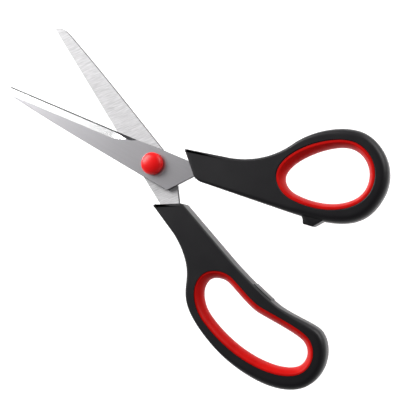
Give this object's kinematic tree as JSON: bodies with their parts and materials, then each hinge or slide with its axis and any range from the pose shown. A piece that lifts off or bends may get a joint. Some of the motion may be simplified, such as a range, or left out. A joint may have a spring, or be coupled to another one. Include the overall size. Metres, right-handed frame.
{
  "type": "office scissors",
  "caption": "Right-handed office scissors lying open: ground steel blades on a capped rivet, black moulded handles, soft red rings in an oval thumb bow and a long finger bow.",
  "frame": {"origin": "on the pivot axis, at the back plane that the scissors lie on, which is the flat end of the rivet and the backs of both handles", "axes": "+X along the middle of the open blades, from the pivot towards the tips; +Z along the pivot axis, from the back to the capped side; +Y towards the finger bow's side of the handles"},
  "size_m": [0.2113, 0.1205, 0.0121],
  "materials": {
    "blade_steel": "satin rolled faces, bright ground edge bevels",
    "rivet_steel": "turned",
    "black_plastic": "fine matte mould texture",
    "red_rubber": "soft satin",
    "red_plastic": "glossy dome"
  },
  "bodies": {
    "rear_half": {"rear_blade": "blade_steel", "finger_handle": "black_plastic", "finger_ring": "red_rubber", "pivot_rivet": "rivet_steel", "rear_rivet_washer": "rivet_steel", "spring_washer": "rivet_steel", "pivot_cap": "red_plastic"},
    "front_half": {"front_blade": "blade_steel", "thumb_handle": "black_plastic", "thumb_ring": "red_rubber"}
  },
  "joints": [
    {"name": "blade_pivot", "type": "hinge", "parent": "rear_half", "child": "front_half", "pos_m": [0, 0, 0], "axis": [0, 0, 1], "range_deg": [-25.8, 81.5]}
  ]
}
